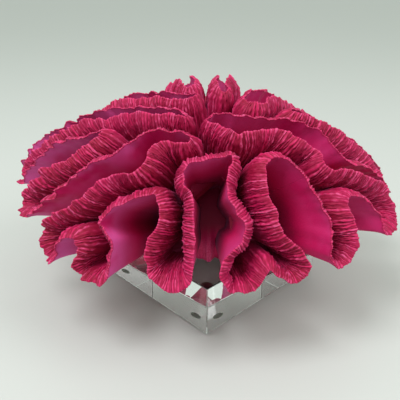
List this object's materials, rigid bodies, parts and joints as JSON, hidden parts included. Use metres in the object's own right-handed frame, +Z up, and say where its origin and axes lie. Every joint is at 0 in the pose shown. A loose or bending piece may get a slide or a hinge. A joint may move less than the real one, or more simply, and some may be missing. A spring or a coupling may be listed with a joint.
{
  "type": "ruffled stony coral on a clear block",
  "caption": "Domed ruffled stony coral, dyed magenta, with thin pleated walls ribbed on one side and smooth on the other, resting on a clear square acrylic block on bumper feet.",
  "frame": {"origin": "middle of the object's box in plan, on the surface that its feet stand on", "axes": "+Z up, -Y towards the viewer of the picture, +X along the coral's longest side"},
  "size_m": [0.296, 0.2534, 0.1607],
  "materials": {
    "coral": "matt dyed coral skeleton, ribbed inside the folds and smooth outside",
    "acrylic": "clear polished acrylic",
    "bumper": "clear soft bumper"
  },
  "bodies": {
    "root": {"trunk": "coral", "lobe_front_left": "coral", "lobe_front": "coral", "lobe_front_right": "coral", "lobe_right": "coral", "lobe_right_middle": "coral", "lobe_right_back": "coral", "lobe_back_right": "coral", "lobe_back": "coral", "lobe_back_left": "coral", "lobe_left_back": "coral", "lobe_left": "coral", "acrylic_block": "acrylic", "foot_front": "bumper", "foot_right": "bumper", "foot_back": "bumper", "foot_left": "bumper"}
  },
  "joints": []
}
